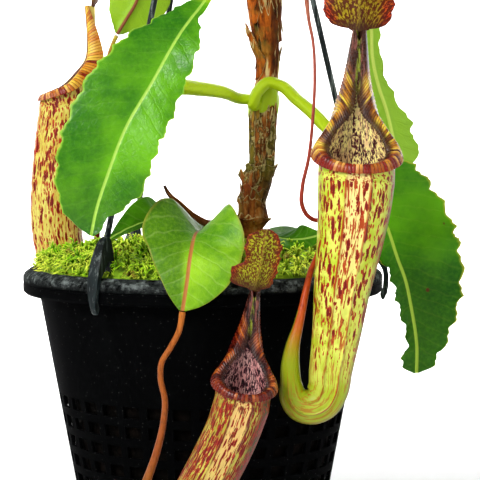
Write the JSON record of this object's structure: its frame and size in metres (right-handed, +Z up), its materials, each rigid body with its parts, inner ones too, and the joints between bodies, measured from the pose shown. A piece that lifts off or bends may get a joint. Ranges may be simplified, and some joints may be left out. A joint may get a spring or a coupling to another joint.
{
  "type": "potted pitcher plant in a hanging pot",
  "caption": "Tropical pitcher plant with hanging pitchers and toothed leaves, rooted in moss in a round slotted plastic pot on a wire hanger with a hook.",
  "frame": {"origin": "middle of the flat underside of the pot's base", "axes": "+Z up along the pot's axis, -Y towards the side that the picture shows, +X to the right in the picture"},
  "size_m": [0.2345, 0.2254, 0.5289],
  "materials": {
    "black_plastic": "moulded black plastic",
    "slate_plastic": "dark slate plastic",
    "bark_mix": "bark and fibre",
    "sphagnum": "live moss",
    "bark": "flaking bark",
    "leaf_green": "leathery, glossy",
    "leaf_underside": "leathery, satin",
    "dead_leaf": "dry, matte",
    "tendril_red": "satin",
    "pitcher_wall": "waxy, blotched",
    "lip_red": "ribbed, glossy",
    "lid_mottled": "satin, mottled"
  },
  "bodies": {
    "root": {"pot": "black_plastic", "potting_mix": "bark_mix", "moss": "sphagnum", "hanger_strand_front_left": "slate_plastic", "hanger_strand_back_left": "slate_plastic", "hanger_strand_right": "slate_plastic", "hanger_hook": "slate_plastic", "stem": "bark", "leaf_large_left": "leaf_green", "leaf_back_left": "leaf_underside", "leaf_low_left": "leaf_green", "leaf_hanging_right": "leaf_underside", "leaf_low_right": "leaf_green", "leaf_crown_front": "leaf_green", "leaf_crown_young": "leaf_green", "leaf_front_folded": "leaf_green", "leaf_basal_left": "leaf_green", "leaf_basal_right": "leaf_green", "leaf_basal_back": "leaf_green", "leaf_dry": "dead_leaf", "tendril_main": "tendril_red", "pitcher_main": "pitcher_wall", "peristome_main": "lip_red", "lid_main": "lid_mottled", "tendril_left": "tendril_red", "pitcher_left": "pitcher_wall", "peristome_left": "lip_red", "lid_left": "lid_mottled", "tendril_front": "tendril_red", "pitcher_front": "pitcher_wall", "peristome_front": "lip_red", "lid_front": "lid_mottled"}
  },
  "joints": []
}
